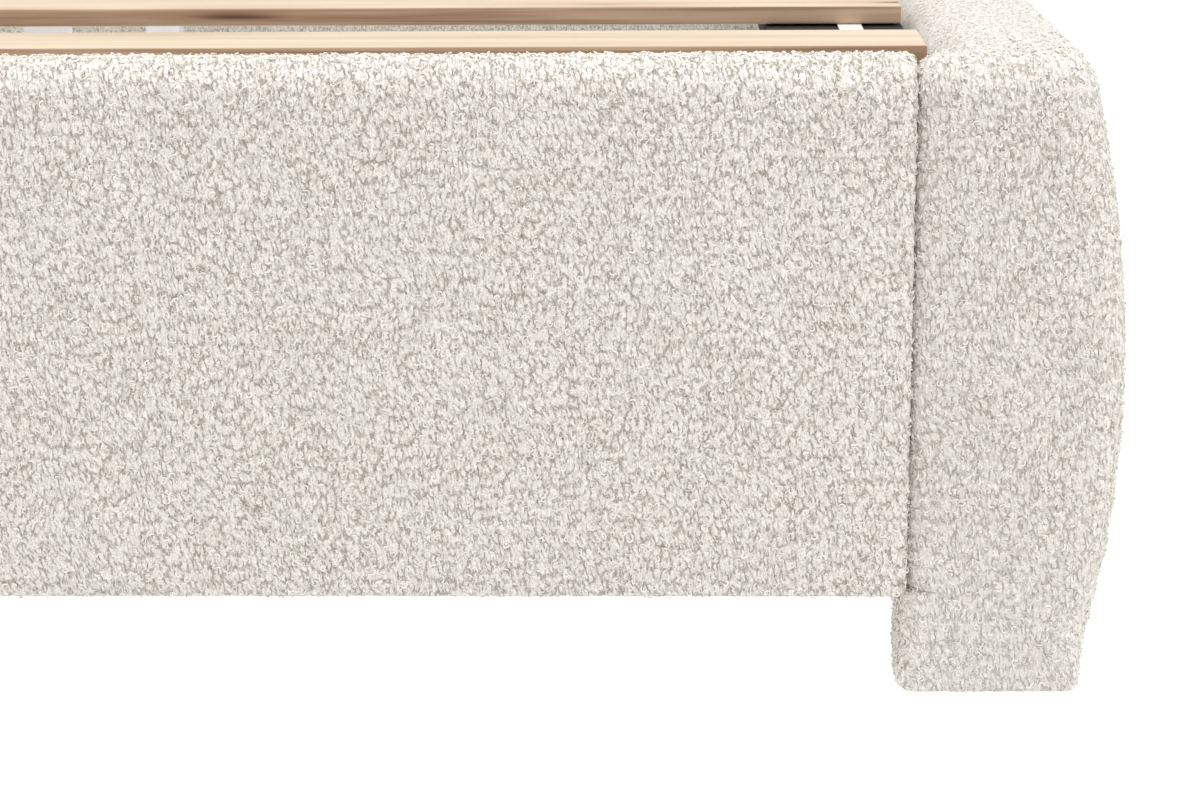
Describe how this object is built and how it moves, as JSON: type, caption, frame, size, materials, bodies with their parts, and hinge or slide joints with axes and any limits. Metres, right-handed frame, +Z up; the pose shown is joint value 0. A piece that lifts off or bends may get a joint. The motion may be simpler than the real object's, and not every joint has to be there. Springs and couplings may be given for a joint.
{
  "type": "upholstered platform bed",
  "caption": "Queen platform bed with a padded headboard, barrel-sided upholstered rails on short padded legs, and a pine slat base.",
  "frame": {"origin": "on the floor, under the middle of the bed's overall box", "axes": "+Y from the foot to the headboard, +X to the right seen from the foot, +Z up"},
  "size_m": [1.7764, 2.222, 1.1],
  "materials": {
    "boucle": "cream looped boucle",
    "plywood": "raw plywood",
    "pine": "planed raw pine",
    "lacquer": "white lacquered pine",
    "lining": "black non-woven lining over board",
    "dust_cover": "black non-woven dust cover",
    "webbing": "light woven tape",
    "steel": "black powder coat",
    "zinc": "bright zinc plate",
    "plastic": "black moulded plastic"
  },
  "bodies": {
    "bed_frame": {"headboard_pad": "boucle", "side_rail_pad_left": "boucle", "side_rail_pad_right": "boucle", "foot_rail_pad": "boucle", "headboard_panel": "plywood", "side_rail_board_left": "plywood", "side_rail_board_right": "plywood", "foot_rail_board": "plywood", "headboard_upright_left": "pine", "headboard_upright_right": "pine", "headboard_batten_bottom": "pine", "headboard_batten_top": "pine", "corner_post_left": "pine", "corner_post_right": "pine", "ledge_cleat_left": "pine", "ledge_cleat_right": "pine", "head_cross_rail": "pine", "centre_beam": "pine", "slat_01": "pine", "slat_02": "pine", "slat_03": "pine", "slat_04": "pine", "slat_05": "pine", "slat_06": "pine", "slat_07": "pine", "slat_08": "pine", "slat_09": "pine", "slat_10": "pine", "slat_11": "pine", "centre_leg_1": "lacquer", "centre_leg_2": "lacquer", "centre_leg_3": "lacquer", "side_ledge_left": "lining", "side_ledge_right": "lining", "headboard_back_cover": "dust_cover", "slat_strap_left": "webbing", "slat_strap_right": "webbing", "beam_hanger_foot": "steel", "beam_hanger_head": "steel", "bracket_foot_left": "steel", "bracket_foot_right": "steel", "bracket_head_left": "steel", "bracket_head_right": "steel", "bracket_foot_left_bolt_rail": "zinc", "bracket_foot_left_bolt_end": "zinc", "bracket_foot_right_bolt_rail": "zinc", "bracket_foot_right_bolt_end": "zinc", "bracket_head_left_bolt_rail": "zinc", "bracket_head_left_bolt_end": "zinc", "bracket_head_right_bolt_rail": "zinc", "bracket_head_right_bolt_end": "zinc", "glide_foot_left": "plastic", "glide_foot_right": "plastic", "glide_head_left": "plastic", "glide_head_right": "plastic"},
    "levelling_foot_1": {"levelling_foot_1": "plastic"},
    "levelling_foot_2": {"levelling_foot_2": "plastic"},
    "levelling_foot_3": {"levelling_foot_3": "plastic"}
  },
  "joints": [
    {"name": "screw_levelling_foot_1", "type": "slide", "parent": "bed_frame", "child": "levelling_foot_1", "axis": [0, 0, 1], "range_m": [-0.01, 0.015]},
    {"name": "screw_levelling_foot_2", "type": "slide", "parent": "bed_frame", "child": "levelling_foot_2", "axis": [0, 0, 1], "range_m": [-0.01, 0.015]},
    {"name": "screw_levelling_foot_3", "type": "slide", "parent": "bed_frame", "child": "levelling_foot_3", "axis": [0, 0, 1], "range_m": [-0.01, 0.015]}
  ]
}
